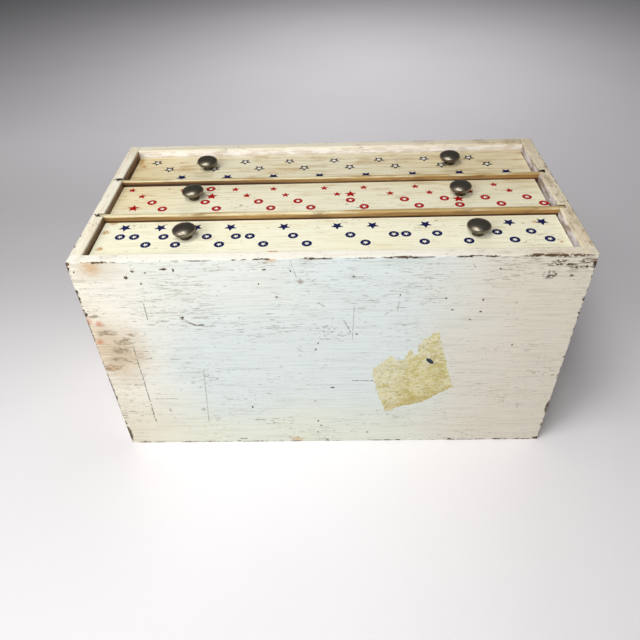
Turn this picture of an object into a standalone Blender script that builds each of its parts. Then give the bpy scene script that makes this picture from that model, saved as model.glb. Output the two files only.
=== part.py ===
"""Small three-drawer chest, lying on its back with the drawer fronts up.

Frame: +X runs along the chest's width, +Y from its bottom board to its top board,
+Z up, the way the drawers pull out.  The origin is on the resting plane, under the
middle of the case.  All sizes are in metres.
"""
import math

import bmesh
import bpy
from mathutils import Matrix, Vector
from mathutils.geometry import interpolate_bezier

# ---- Driving dimensions -------------------------------------------------------
CASE_WIDTH = 0.3810          # X
CASE_HEIGHT = 0.1905         # Y, bottom board to top board
CASE_DEPTH = 0.20955         # Z, back to front rim
BOARD = 0.009525             # thickness of the four case boards
FINGER_COUNT = 33            # box-joint fingers along each corner, odd ones on the sides
BACK_PANEL = 0.00476         # thickness of the panel let in at the back

GAP = 0.0003                 # clearance kept between touching pieces

DIVIDER = 0.003175           # thickness of the two thin dividers
DADO_DEPTH = 0.0046          # groove in the side boards that holds a divider
DADO_PLAY = 0.0011           # room left above a divider in its groove
# name, height of the under face above the bottom board's outer face, set-back from the rim
DIVIDERS = (
    ("divider_lower", 0.0639, 0.0006),
    ("divider_upper", 0.1225, 0.0013),
)

DRAWER_WIDTH = 0.3584
DRAWER_HEIGHT = 0.0526
DRAWER_FRONT = 0.009525      # thickness of a drawer front
DRAWER_SIDE = 0.00635        # thickness of drawer sides and back
DRAWER_BOTTOM = 0.003175     # thickness of the loose bottom panel
RABBET_DEPTH = 0.0060        # step in the front's ends that takes the sides
GROOVE_DEPTH = 0.0030        # groove that holds the bottom panel
GROOVE_RISE = 0.0040         # height of the bottom panel above the drawer's lower edge

KNOB_RADIUS = 0.0092
KNOB_RIM_HEIGHT = 0.0069     # height of the widest part of the head
KNOB_HEIGHT = 0.0110
KNOB_BASE_RADIUS = 0.0047
KNOB_BASE_HEIGHT = 0.0010
KNOB_NECK_RADIUS = 0.0042
KNOB_NECK_HEIGHT = 0.0024
KNOB_HOLE_DEPTH = 0.0060
KNOB_HOLE_RADIUS = 0.00205
FRONT_HOLE_RADIUS = 0.00225  # clearance hole through the drawer front

SCREW_RADIUS = 0.00175
SCREW_GRIP = 0.0050          # length of shank inside the knob
SCREW_HEAD_RADIUS = 0.0036
SCREW_HEAD_HEIGHT = 0.0022
SCREW_SLOT_WIDTH = 0.0009
SCREW_SLOT_DEPTH = 0.0009

ROUND_STEPS = 32             # facets round a knob
SCREW_STEPS = 20             # facets round a screw or its hole

# Each drawer: distance of its lower edge from the bottom board's outer face, sideways
# shift, set-back of its front from the rim, and its two knobs as (X, Y) offsets from
# the middle of the front.
DRAWERS = {
    "bottom_drawer": {
        "lower_edge": 0.0100,
        "shift": -0.0005,
        "set_back": 0.0060,
        "knobs": {"left": (-0.1101, 0.0026), "right": (0.1131, 0.0007)},
    },
    "middle_drawer": {
        "lower_edge": 0.0694,
        "shift": -0.0014,
        "set_back": 0.0062,
        "knobs": {"left": (-0.1128, 0.0036), "right": (0.1109, 0.0025)},
    },
    "top_drawer": {
        "lower_edge": 0.1276,
        "shift": -0.0001,
        "set_back": 0.0069,
        "knobs": {"left": (-0.1109, 0.0011), "right": (0.1093, 0.0017)},
    },
}

# ---- Worked out from the driving dimensions ------------------------------------
HALF_WIDTH = CASE_WIDTH / 2
HALF_HEIGHT = CASE_HEIGHT / 2
INNER_HALF_WIDTH = HALF_WIDTH - BOARD
INNER_HALF_HEIGHT = HALF_HEIGHT - BOARD
FINGER = CASE_DEPTH / FINGER_COUNT
OVERCUT = 0.002              # how far a cutter runs past the face it opens


# ---- Materials -------------------------------------------------------------------
def make_material(name, colour, roughness, metallic=0.0):
    material = bpy.data.materials.new(name)
    material.use_nodes = True
    shader = material.node_tree.nodes["Principled BSDF"]
    shader.inputs["Base Color"].default_value = (*colour, 1.0)
    shader.inputs["Roughness"].default_value = roughness
    shader.inputs["Metallic"].default_value = metallic
    material.diffuse_color = (*colour, 1.0)
    return material


def make_materials():
    return {
        "paint": make_material("painted_wood", (0.80, 0.75, 0.62), 0.65),
        "bare": make_material("bare_wood", (0.52, 0.35, 0.17), 0.70),
        "panel": make_material("panel_wood", (0.45, 0.30, 0.16), 0.75),
        "knob": make_material("knob_pewter", (0.12, 0.10, 0.085), 0.35, 0.9),
        "screw": make_material("screw_steel", (0.55, 0.53, 0.50), 0.40, 1.0),
    }


# ---- Modelling helpers -----------------------------------------------------------
def mesh_object(name, mesh, material, parent=None):
    obj = bpy.data.objects.new(name, mesh)
    bpy.context.scene.collection.objects.link(obj)
    mesh.materials.append(material)
    obj.parent = parent
    return obj


def box_mesh(name, size):
    mesh = bpy.data.meshes.new(name)
    shape = bmesh.new()
    bmesh.ops.create_cube(shape, size=1.0)
    bmesh.ops.scale(shape, vec=size, verts=shape.verts)
    shape.to_mesh(mesh)
    shape.free()
    return mesh


def add_box(name, low, high, material, parent=None):
    """A plain board between two opposite corners, with its origin at its middle."""
    low = Vector(low)
    high = Vector(high)
    obj = mesh_object(name, box_mesh(name, high - low), material, parent)
    obj.location = (low + high) / 2
    return obj


def cut_box(target, name, low, high, material):
    cutter = add_box(f"cut_{name}", low, high, material, target.parent)
    cut(target, cutter)


def cut(target, cutter):
    """Take the cutter's shape out of the target and leave the cutter as a guide."""
    boolean = target.modifiers.new(cutter.name, "BOOLEAN")
    boolean.operation = "DIFFERENCE"
    boolean.solver = "EXACT"
    boolean.object = cutter
    cutter.hide_render = True
    cutter.display_type = "WIRE"


def extruded_outline(name, outline, thickness, placement, material):
    """A flat outline in its own XY plane, thickened along its own +Z."""
    mesh = bpy.data.meshes.new(name)
    shape = bmesh.new()
    face = shape.faces.new([shape.verts.new((u, v, 0.0)) for u, v in outline])
    grown = bmesh.ops.extrude_face_region(shape, geom=[face])
    top = [part for part in grown["geom"] if isinstance(part, bmesh.types.BMVert)]
    bmesh.ops.translate(shape, vec=(0.0, 0.0, thickness), verts=top)
    bmesh.ops.recalc_face_normals(shape, faces=shape.faces)
    shape.to_mesh(mesh)
    shape.free()
    obj = mesh_object(name, mesh, material)
    obj.matrix_world = placement
    return obj


def turned_mesh(name, profile, steps):
    """A profile of (radius, height) points, from axis to axis, turned round +Z."""
    mesh = bpy.data.meshes.new(name)
    shape = bmesh.new()
    points = [shape.verts.new((radius, 0.0, height)) for radius, height in profile]
    edges = [shape.edges.new(pair) for pair in zip(points, points[1:])]
    bmesh.ops.spin(shape, geom=points + edges, cent=(0, 0, 0), axis=(0, 0, 1),
                   angle=math.tau, steps=steps, use_merge=True)
    bmesh.ops.remove_doubles(shape, verts=shape.verts, dist=1e-7)
    bmesh.ops.dissolve_degenerate(shape, edges=shape.edges, dist=1e-7)
    bmesh.ops.recalc_face_normals(shape, faces=shape.faces)
    shape.to_mesh(mesh)
    shape.free()
    mesh.shade_smooth()
    mesh.set_sharp_from_angle(angle=math.radians(40))
    return mesh


# ---- Case --------------------------------------------------------------------------
def comb_outline(full_half, inner_half, owns_odd):
    """A board with box-joint fingers on both ends: (across, along the corner)."""
    edge = []
    for finger in range(FINGER_COUNT):
        owned = (finger % 2 == 0) == owns_odd
        reach = full_half if owned else inner_half - GAP
        trim = GAP / 2 if owned else -GAP / 2
        start = finger * FINGER + trim
        end = (finger + 1) * FINGER - trim
        if finger == 0:
            start = 0.0
        if finger == FINGER_COUNT - 1:
            end = CASE_DEPTH
        edge += [(reach, start), (reach, end)]
    return edge + [(-across, along) for across, along in reversed(edge)]


def add_case_boards(materials):
    """Bottom and top boards own the even fingers, the two sides the odd ones."""
    long_outline = comb_outline(HALF_WIDTH, INNER_HALF_WIDTH, False)
    side_outline = comb_outline(HALF_HEIGHT, INNER_HALF_HEIGHT, True)
    lying_along_x = Matrix(((1, 0, 0), (0, 0, 1), (0, 1, 0))).to_4x4()
    lying_along_y = Matrix(((0, 0, 1), (1, 0, 0), (0, 1, 0))).to_4x4()
    for name, near_face in (("case_bottom_board", -HALF_HEIGHT), ("case_top_board", INNER_HALF_HEIGHT)):
        placement = Matrix.Translation((0, near_face, 0)) @ lying_along_x
        extruded_outline(name, long_outline, BOARD, placement, materials["paint"])
    for name, near_face in (("case_left_board", -HALF_WIDTH), ("case_right_board", INNER_HALF_WIDTH)):
        placement = Matrix.Translation((near_face, 0, 0)) @ lying_along_y
        board = extruded_outline(name, side_outline, BOARD, placement, materials["paint"])
        cut_dados(board, name, math.copysign(1.0, near_face), materials)


def cut_dados(board, name, side, materials):
    """Open the two divider grooves in a side board's inner face, through to the rim."""
    floor_x = side * (INNER_HALF_WIDTH + DADO_DEPTH)
    mouth_x = side * (INNER_HALF_WIDTH - OVERCUT)
    for divider, under_face, _ in DIVIDERS:
        low_y = under_face - HALF_HEIGHT - GAP
        high_y = low_y + GAP + DIVIDER + DADO_PLAY
        low = (min(floor_x, mouth_x), low_y, -OVERCUT)
        high = (max(floor_x, mouth_x), high_y, CASE_DEPTH + OVERCUT)
        cut_box(board, f"{name}_{divider}", low, high, materials["bare"])


def add_back_panel(materials):
    reach_x = INNER_HALF_WIDTH - GAP
    reach_y = INNER_HALF_HEIGHT - GAP
    low = (-reach_x, -reach_y, 0.0)
    high = (reach_x, reach_y, BACK_PANEL)
    add_box("case_back_panel", low, high, materials["panel"])


def add_dividers(materials):
    reach_x = INNER_HALF_WIDTH + DADO_DEPTH - GAP
    for name, under_face, set_back in DIVIDERS:
        low_y = under_face - HALF_HEIGHT
        low = (-reach_x, low_y, BACK_PANEL + GAP)
        high = (reach_x, low_y + DIVIDER, CASE_DEPTH - set_back)
        add_box(name, low, high, materials["bare"])


# ---- Drawers -----------------------------------------------------------------------
def add_drawer(name, spec, materials, knob_mesh, screw_mesh):
    """One drawer about an empty at the middle of its front face, +Z pointing out."""
    front_face = CASE_DEPTH - spec["set_back"]
    middle_y = spec["lower_edge"] + DRAWER_HEIGHT / 2 - HALF_HEIGHT
    slide = bpy.data.objects.new(f"{name}_slide", None)
    slide.empty_display_size = 0.02
    slide.location = (spec["shift"], middle_y, front_face)
    bpy.context.scene.collection.objects.link(slide)
    tail = BACK_PANEL + GAP - front_face
    add_drawer_front(name, spec, slide, materials)
    add_drawer_sides(name, tail, slide, materials)
    add_drawer_back(name, tail, slide, materials)
    add_drawer_bottom(name, tail, slide, materials)
    for side, (across, up) in spec["knobs"].items():
        knob = mesh_object(f"{name}_knob_{side}", knob_mesh.copy(), materials["knob"], slide)
        knob.location = (across, up, GAP)
        screw = mesh_object(f"{name}_screw_{side}", screw_mesh.copy(), materials["screw"], slide)
        screw.location = (across, up, -DRAWER_FRONT - GAP)
        low = (across - SCREW_HEAD_RADIUS * 2, up - SCREW_SLOT_WIDTH / 2,
               -DRAWER_FRONT - GAP - SCREW_HEAD_HEIGHT - OVERCUT)
        high = (across + SCREW_HEAD_RADIUS * 2, up + SCREW_SLOT_WIDTH / 2,
                -DRAWER_FRONT - GAP - SCREW_HEAD_HEIGHT + SCREW_SLOT_DEPTH)
        cut_box(screw, f"{name}_slot_{side}", low, high, materials["screw"])


def groove_span():
    """The bottom panel's two faces, measured from the middle of the drawer's height."""
    low = GROOVE_RISE - DRAWER_HEIGHT / 2
    return low, low + DRAWER_BOTTOM


def add_drawer_front(name, spec, slide, materials):
    """A board with a rabbet at each end, a groove for the bottom and two knob holes."""
    half = DRAWER_WIDTH / 2
    shoulder = half - DRAWER_SIDE - GAP
    lip = RABBET_DEPTH - DRAWER_FRONT
    outline = [(-half, 0.0), (half, 0.0), (half, lip), (shoulder, lip), (shoulder, -DRAWER_FRONT),
               (-shoulder, -DRAWER_FRONT), (-shoulder, lip), (-half, lip)]
    standing = Matrix(((1, 0, 0), (0, 0, 1), (0, 1, 0))).to_4x4()
    lowered = Matrix.Translation((0, -DRAWER_HEIGHT / 2, 0)) @ standing
    front = extruded_outline(f"{name}_front", outline, DRAWER_HEIGHT, lowered, materials["paint"])
    front.parent = slide
    panel_low, panel_high = groove_span()
    low = (-half, panel_low - GAP, -DRAWER_FRONT - OVERCUT)
    high = (half, panel_high + GAP, -DRAWER_FRONT + GROOVE_DEPTH)
    cut_box(front, f"{name}_front_groove", low, high, materials["bare"])
    for side, (across, up) in spec["knobs"].items():
        profile = [(0.0, -DRAWER_FRONT - OVERCUT), (FRONT_HOLE_RADIUS, -DRAWER_FRONT - OVERCUT),
                   (FRONT_HOLE_RADIUS, OVERCUT), (0.0, OVERCUT)]
        label = f"cut_{name}_hole_{side}"
        drill = mesh_object(label, turned_mesh(label, profile, SCREW_STEPS), materials["bare"], slide)
        drill.location = (across, up, 0.0)
        cut(front, drill)


def add_drawer_sides(name, tail, slide, materials):
    panel_low, panel_high = groove_span()
    nose = RABBET_DEPTH - DRAWER_FRONT - GAP
    outer = DRAWER_WIDTH / 2
    inner = outer - DRAWER_SIDE
    for side, sign in (("left", -1.0), ("right", 1.0)):
        reach = sorted((sign * inner, sign * outer))
        low = (reach[0], -DRAWER_HEIGHT / 2, tail)
        high = (reach[1], DRAWER_HEIGHT / 2, nose)
        board = add_box(f"{name}_{side}_side", low, high, materials["bare"], slide)
        groove = sorted((sign * (inner - OVERCUT), sign * (inner + GROOVE_DEPTH)))
        low = (groove[0], panel_low - GAP, tail - OVERCUT)
        high = (groove[1], panel_high + GAP, nose + OVERCUT)
        cut_box(board, f"{name}_{side}_groove", low, high, materials["bare"])


def add_drawer_back(name, tail, slide, materials):
    """The back stands on the bottom panel, which slides in beneath it."""
    reach = DRAWER_WIDTH / 2 - DRAWER_SIDE - GAP
    low = (-reach, groove_span()[1] + GAP, tail)
    high = (reach, DRAWER_HEIGHT / 2, tail + DRAWER_SIDE)
    add_box(f"{name}_back", low, high, materials["bare"], slide)


def add_drawer_bottom(name, tail, slide, materials):
    reach = DRAWER_WIDTH / 2 - DRAWER_SIDE + GROOVE_DEPTH - GAP
    panel_low, panel_high = groove_span()
    low = (-reach, panel_low, tail)
    high = (reach, panel_high, -DRAWER_FRONT + GROOVE_DEPTH - GAP)
    add_box(f"{name}_bottom", low, high, materials["panel"], slide)


# ---- Knobs and their screws --------------------------------------------------------
def knob_profile():
    """Blind screw hole, small foot, waisted neck, bellied underside and low domed top."""
    profile = [(0.0, KNOB_HOLE_DEPTH), (KNOB_HOLE_RADIUS, KNOB_HOLE_DEPTH), (KNOB_HOLE_RADIUS, 0.0),
               (KNOB_BASE_RADIUS, 0.0), (KNOB_BASE_RADIUS, KNOB_BASE_HEIGHT)]
    neck = Vector((KNOB_NECK_RADIUS, KNOB_NECK_HEIGHT))
    rim = Vector((KNOB_RADIUS, KNOB_RIM_HEIGHT))
    flare = Vector((0.0026, 0.0006))
    upright = Vector((0.0, 0.0020))
    belly = interpolate_bezier(neck, neck + flare, rim - upright, rim, 8)
    profile += [(point.x, point.y) for point in belly]
    crown = KNOB_HEIGHT - KNOB_RIM_HEIGHT
    steps = 7
    for step in range(1, steps):
        turn = math.pi / 2 * step / steps
        profile.append((KNOB_RADIUS * math.cos(turn), KNOB_RIM_HEIGHT + crown * math.sin(turn)))
    profile.append((0.0, KNOB_HEIGHT))
    return profile


def screw_profile():
    """Round head below the origin, plain shank above it."""
    shank_end = DRAWER_FRONT + 2 * GAP + SCREW_GRIP
    profile = [(0.0, -SCREW_HEAD_HEIGHT)]
    steps = 4
    for step in range(1, steps):
        turn = math.pi / 2 * step / steps
        profile.append((SCREW_HEAD_RADIUS * math.sin(turn), -SCREW_HEAD_HEIGHT * math.cos(turn)))
    profile += [(SCREW_HEAD_RADIUS, 0.0), (SCREW_RADIUS, 0.0), (SCREW_RADIUS, shank_end), (0.0, shank_end)]
    return profile


def main():
    for obj in list(bpy.data.objects):
        bpy.data.objects.remove(obj, do_unlink=True)
    materials = make_materials()
    add_case_boards(materials)
    add_back_panel(materials)
    add_dividers(materials)
    knob_mesh = turned_mesh("knob", knob_profile(), ROUND_STEPS)
    screw_mesh = turned_mesh("screw", screw_profile(), SCREW_STEPS)
    for name, spec in DRAWERS.items():
        add_drawer(name, spec, materials, knob_mesh, screw_mesh)


main()
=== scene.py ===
"""Looks for the small three-drawer chest: distressed paint, bare wood, pewter knobs,
star and ring decals and a torn label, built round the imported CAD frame.

The scene is in metres in the CAD frame: +X along the width, +Y from the case's bottom
board to its top board, +Z up, the way the drawers pull out.  Tables of marks and decals
are in millimetres.
"""
import math
import random

import bmesh
import bpy
from mathutils import Euler, Matrix, Vector, noise
from mathutils.geometry import interpolate_bezier


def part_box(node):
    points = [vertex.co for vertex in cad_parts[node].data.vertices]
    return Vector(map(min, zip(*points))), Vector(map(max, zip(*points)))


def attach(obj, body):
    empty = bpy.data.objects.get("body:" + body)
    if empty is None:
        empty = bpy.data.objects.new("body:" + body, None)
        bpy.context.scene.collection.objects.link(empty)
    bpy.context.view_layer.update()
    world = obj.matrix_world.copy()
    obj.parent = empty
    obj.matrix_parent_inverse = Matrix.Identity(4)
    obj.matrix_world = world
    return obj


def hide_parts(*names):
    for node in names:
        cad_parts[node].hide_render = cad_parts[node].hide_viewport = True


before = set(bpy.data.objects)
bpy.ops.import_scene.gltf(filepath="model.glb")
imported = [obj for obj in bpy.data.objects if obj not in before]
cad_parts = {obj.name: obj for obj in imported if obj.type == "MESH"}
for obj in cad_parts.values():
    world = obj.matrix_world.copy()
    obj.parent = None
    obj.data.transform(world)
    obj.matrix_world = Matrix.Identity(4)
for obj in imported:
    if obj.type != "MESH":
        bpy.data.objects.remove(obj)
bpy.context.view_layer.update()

MM = 0.001
RANDOM = random.Random(7)

# ---- Driving sizes, read from the frame ----
CASE_LOW = Vector((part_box("case_left_board")[0].x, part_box("case_bottom_board")[0].y, 0.0))
CASE_HIGH = Vector((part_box("case_right_board")[1].x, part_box("case_top_board")[1].y,
                    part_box("case_left_board")[1].z))
HALF_WIDTH = CASE_HIGH.x
HALF_HEIGHT = CASE_HIGH.y
DEPTH = CASE_HIGH.z
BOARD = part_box("case_bottom_board")[1].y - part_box("case_bottom_board")[0].y
INNER_X = HALF_WIDTH - BOARD
INNER_Y = HALF_HEIGHT - BOARD
DADO_PLAY = 1.1 * MM         # the gap that a divider leaves in its groove
FINGER_COUNT = 33
DRAWERS = ("bottom_drawer", "middle_drawer", "top_drawer")
DIVIDERS = ("divider_lower", "divider_upper")


# ---- Material building ----
FAR_AWAY = 9.0               # a distance, in half sizes, past every spot and stroke


class Value:
    """A number that a socket carries.  Arithmetic on it adds nodes to its material."""

    def __init__(self, look, socket):
        self.look = look
        self.socket = socket

    def __add__(self, other):
        return self.look.math("ADD", self, other)

    def __sub__(self, other):
        return self.look.math("SUBTRACT", self, other)

    def __rsub__(self, other):
        return self.look.math("SUBTRACT", other, self)

    def __mul__(self, other):
        return self.look.math("MULTIPLY", self, other)

    def __abs__(self):
        return self.look.math("ABSOLUTE", self)

    def ease(self, low, high):
        """0 below low, 1 above high and smooth between; low above high turns it round."""
        node = self.look.node("MapRange", self, low, high)
        node.interpolation_type = "SMOOTHSTEP"
        return Value(self.look, node.outputs[0])


class Look:
    """One material's nodes, with the colour so far, which the covering and darkening methods work on.

    The sizes of noise, warp and bump are in millimetres, and places and distances in metres.
    Colours are given as they look on screen, 0 to 255.
    """

    def __init__(self, name):
        self.material = bpy.data.materials.new(name)
        self.material.use_nodes = True
        self.tree = self.material.node_tree
        self.place = self.node("TexCoord").outputs["Object"]
        self.x, self.y, self.z = (Value(self, part) for part in self.node("SeparateXYZ", self.place).outputs)
        self.colour = None

    def feed(self, value, socket):
        """Link a value to a node's input, or set the input to a plain number, vector or colour."""
        if isinstance(value, Value):
            value = value.socket
        if isinstance(value, bpy.types.NodeSocket):
            self.tree.links.new(value, socket)
        elif socket.type == "RGBA":
            socket.default_value = (*map(linear, value), 1.0)
        else:
            socket.default_value = value

    def node(self, kind, *values):
        """A new node, its first inputs fed."""
        node = self.tree.nodes.new("ShaderNode" + kind)
        for value, socket in zip(values, node.inputs):
            self.feed(value, socket)
        return node

    def math(self, operation, *values):
        node = self.node("Math", *values)
        node.operation = operation
        return Value(self, node.outputs[0])

    def vector(self, operation, *values, result="Vector"):
        node = self.node("VectorMath", *values)
        node.operation = operation
        return node.outputs[result]

    def texture(self, place, size, detail, rough):
        node = self.node("TexNoise", place)
        node.inputs["Scale"].default_value = 1 / (size * MM)
        node.inputs["Detail"].default_value = detail
        node.inputs["Roughness"].default_value = rough
        return node

    def noise(self, size, stretch=(1, 1, 1), detail=3, rough=0.55, shift=0):
        """Noise of about the given feature size, drawn out along the axes by stretch."""
        place = self.vector("MULTIPLY", self.place, [1 / part for part in stretch])
        if shift:
            place = self.vector("ADD", place, (shift, shift * 0.7, shift * 1.3))
        return Value(self, self.texture(place, size, detail, rough).outputs[0])

    def warp(self, size, amount, shift=0):
        """The surface point pushed about by noise, for ragged outlines."""
        place = self.vector("ADD", self.place, (shift, shift, shift))
        push = self.texture(place, size, 3.0, 0.5).outputs["Color"]
        push = self.vector("SUBTRACT", push, (0.5, 0.5, 0.5))
        push = self.vector("MULTIPLY", push, [amount * MM] * 3)
        return self.vector("ADD", self.place, push)

    def mix(self, share, first, second, blend="MIX"):
        node = self.tree.nodes.new("ShaderNodeMix")
        node.data_type = "RGBA"      # its colours go in at 6 and 7 and come out at 2
        node.blend_type = blend
        for value, index in ((share, 0), (first, 6), (second, 7)):
            self.feed(value, node.inputs[index])
        return node.outputs[2]

    def cover(self, share, colour):
        """Lay a colour over the look's own colour."""
        self.colour = self.mix(share, self.colour, colour)

    def multiply_in(self, share, colour):
        """Multiply a colour into the look's own colour, which it darkens; used both for stains and for
        painted shade.
        """
        self.colour = self.mix(share, self.colour, colour, "MULTIPLY")

    def most(self, *values):
        result = values[0]
        for value in values[1:]:
            result = self.math("MAXIMUM", result, value)
        return result

    def edge_distance(self, low, high):
        """Distance from a point on a board's surface to the nearest arris of its box."""
        first, second, third = (self.math("MINIMUM", part - small, large - part)
                                for part, small, large in zip((self.x, self.y, self.z), low, high))
        smaller = self.math("MINIMUM", first, second)
        return self.most(smaller, self.math("MINIMUM", self.most(first, second), third))

    def nearest_spot(self, at, spots, plane="XZ"):
        """Distance to the closest spot, as a share of that spot's own half sizes."""
        closest = FAR_AWAY
        for u, v, half_u, half_v in spots:
            middle = (u, 0.0, v) if plane == "XZ" else (u, v, 0.0)
            half = (half_u, math.inf, half_v) if plane == "XZ" else (half_u, half_v, math.inf)
            offset = self.vector("SUBTRACT", at, Vector(middle) * MM)
            scaled = self.vector("MULTIPLY", offset, [1 / (size * MM) for size in half])
            closest = self.math("MINIMUM", self.vector("LENGTH", scaled, result="Value"), closest)
        return closest

    def nearest_stroke(self, at, strokes):
        """Distance to the closest straight stroke, as a share of its half width."""
        closest = FAR_AWAY
        for u0, v0, u1, v1, half in strokes:
            start = Vector((u0 * MM, -HALF_HEIGHT, v0 * MM))
            run = Vector((u1 * MM, -HALF_HEIGHT, v1 * MM)) - start
            offset = self.vector("SUBTRACT", at, start)
            reach = self.vector("DOT_PRODUCT", offset, run / run.length_squared, result="Value")
            foot = self.vector("SCALE", run)
            self.feed(self.node("Clamp", reach).outputs[0], foot.node.inputs["Scale"])
            gap = self.vector("DISTANCE", offset, foot, result="Value")
            closest = self.math("MINIMUM", self.math("DIVIDE", gap, half * MM), closest)
        return closest

    def bump(self, height, depth, strength):
        node = self.tree.nodes.new("ShaderNodeBump")
        node.inputs["Strength"].default_value = strength
        node.inputs["Distance"].default_value = depth * MM
        self.feed(height, node.inputs["Height"])
        return node.outputs[0]

    def done(self, rough, normal, metallic=0.0, specular=0.5):
        shader = self.tree.nodes["Principled BSDF"]
        self.feed(self.colour, shader.inputs["Base Color"])
        self.feed(rough, shader.inputs["Roughness"])
        self.feed(normal, shader.inputs["Normal"])
        shader.inputs["Metallic"].default_value = metallic
        shader.inputs["Specular IOR Level"].default_value = specular
        return self.material


def linear(part):
    """One part of a screen colour, 0 to 255, as the linear value that shaders use."""
    share = part / 255
    return share / 12.92 if share <= 0.04045 else ((share + 0.055) / 1.055) ** 2.4


COOL_WHITE = (218, 226, 224)
WARM_CREAM = (252, 244, 224)
YELLOW_CREAM = (253, 249, 230)
DARK_WOOD = (62, 44, 30)
GOLD_WOOD = (198, 156, 92)
DEEP_GOLD = (140, 96, 48)
GRIME = (150, 138, 120)
TAN = (202, 169, 120)


def along(axis, amount):
    """A stretch for noise that follows a board's grain."""
    return tuple(amount if name == axis else 1.0 for name in "XYZ")


def wood_colour(look, axis, light, dark, shift=0):
    """Straight grain with broad bands, fine pores and a few darker streaks."""
    bands = look.noise(9, along(axis, 14), detail=4, shift=shift)
    fine = look.noise(0.9, along(axis, 30), shift=shift + 3)
    grain = bands * 0.7 + fine * 0.45
    colour = look.mix(grain.ease(0.38, 0.78), light, dark)
    streak = look.noise(2.2, along(axis, 24), shift=shift + 6).ease(0.6, 0.74)
    return look.mix(streak * 0.5, colour, dark), grain


def make_bare_wood(name, axis, light, dark, shift):
    look = Look(name)
    look.colour, grain = wood_colour(look, axis, light, dark, shift)
    dirt = look.noise(30, shift=shift + 9).ease(0.5, 0.75)
    look.multiply_in(dirt * 0.35, (150, 120, 90))
    return look.done(grain.ease(1.6, 0.0), look.bump(grain, 0.12, 0.6))


def paint_layer(look, axis, shift=0):
    """Brushed chalky paint: streaks along the grain, worn specks and slow tone changes."""
    slow = look.noise(60, detail=2, shift=shift)
    streaks = look.noise(1.1, along(axis, 45), detail=4, rough=0.65, shift=shift + 2)
    broad = look.noise(5, along(axis, 16), shift=shift + 4)
    speck = look.noise(1.5, along(axis, 3.2), rough=0.65, shift=shift + 6)
    crowd = look.noise(26, along(axis, 1.6), shift=shift + 8)
    speck = (crowd * 0.45 + speck).ease(0.895, 0.945)
    return slow, streaks, broad, speck


def worn_edges(look, low, high, axis, reach, shift=0):
    """Where paint has chipped off a board's arrises: 1 on bare wood, 0 on sound paint."""
    distance = look.edge_distance(low, high)
    ragged = look.noise(4, along(axis, 2.0), detail=5, rough=0.7, shift=shift)
    patchy = look.noise(24, detail=2, shift=shift + 5)
    strength = ragged.ease(0.44, 0.68) * patchy.ease(0.34, 0.58) * reach
    return (strength - distance).ease(0.0, 0.25 * MM)


def case_finish(look, streaks, broad, edge, speck, rough):
    """Brush marks stand up a little, and worn edges and specks lie below the paint."""
    height = streaks * 0.4 + broad * 0.3 - look.most(edge, speck * 0.5)
    return look.done(streaks * 0.25 + rough, look.bump(height, 0.22, 0.8), specular=0.35)


# The case's bottom board, seen as (X, Z) in millimetres with half sizes.
SMALL_CHIPS = (
    (-120.5, 202, 3, 1.1), (-113.5, 201, 0.9, 1.5), (-149.5, 195, 1.6, 1.4), (-143.5, 200.5, 1.4, 1.1),
    (-134.5, 199, 0.8, 0.8), (-139.5, 189, 0.7, 0.7), (-47.5, 200.3, 1.4, 0.8), (-28.5, 198.6, 0.6, 0.9),
    (-52.5, 187.3, 0.6, 0.9), (-40, 174.5, 1.1, 0.9), (-114.5, 155.7, 1.1, 0.9), (-71, 50, 0.9, 1.7),
    (-13, 29.5, 0.8, 1.1), (-10.5, 23, 0.8, 0.9), (-14, 13.5, 0.8, 0.8), (32, 12.7, 1, 0.8),
    (0.5, 74, 2, 0.9), (52.5, 175, 0.6, 1.1), (87, 171, 0.9, 0.8), (93, 159.5, 1.2, 0.7),
    (114.7, 157.3, 1, 0.9), (114.7, 169, 0.9, 0.9), (107.5, 149.5, 0.9, 0.7), (145, 121.7, 0.8, 0.8),
    (123, 197.5, 0.8, 0.8), (17.5, 192.7, 0.9, 0.8), (-10.5, 126.5, 0.8, 1), (-12.5, 119.5, 0.7, 1.3),
    (20.5, 136, 1, 0.9), (-189.5, 208, 2, 1.6), (-186.5, 200.5, 0.8, 1), (-190, 182, 1.5, 2.2),
    (-190, 176, 1.4, 1.8), (189.5, 202, 1.8, 3), (190.5, 189, 1, 2.2), (190.5, 177, 0.9, 1.8),
    (190.5, 150, 1, 2), (190, 46, 2, 8.5), (-190, 14, 2.6, 11), (189.5, 2, 4.5, 2),
)
CHIP_CLUSTERS = (
    (159.5, 191.5, 5.5, 4), (176, 190.5, 2.6, 1.4), (164, 203.5, 6.5, 1.6), (184, 203.5, 7, 2.2),
    (171, 208.2, 18, 1.9), (144, 208.6, 6.5, 1), (116, 208.6, 6, 0.9), (94, 208.8, 3, 0.9),
    (165, 200.5, 14, 1.5), (180, 198, 9, 2), (26, 209, 8, 0.9), (-84, 5, 4.5, 0.9), (-178, 1.2, 6, 1.6),
)
SMEARS = (
    (-166, 130.5, 9, 5.5), (-172, 121.5, 8, 4.5), (-175, 111, 8, 3.2), (-155, 138.7, 9, 1.8),
    (-178, 140, 9, 3.4), (-184, 101, 9, 4.5), (-184, 158, 6, 2), (-22, 189, 3, 3),
)
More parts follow.
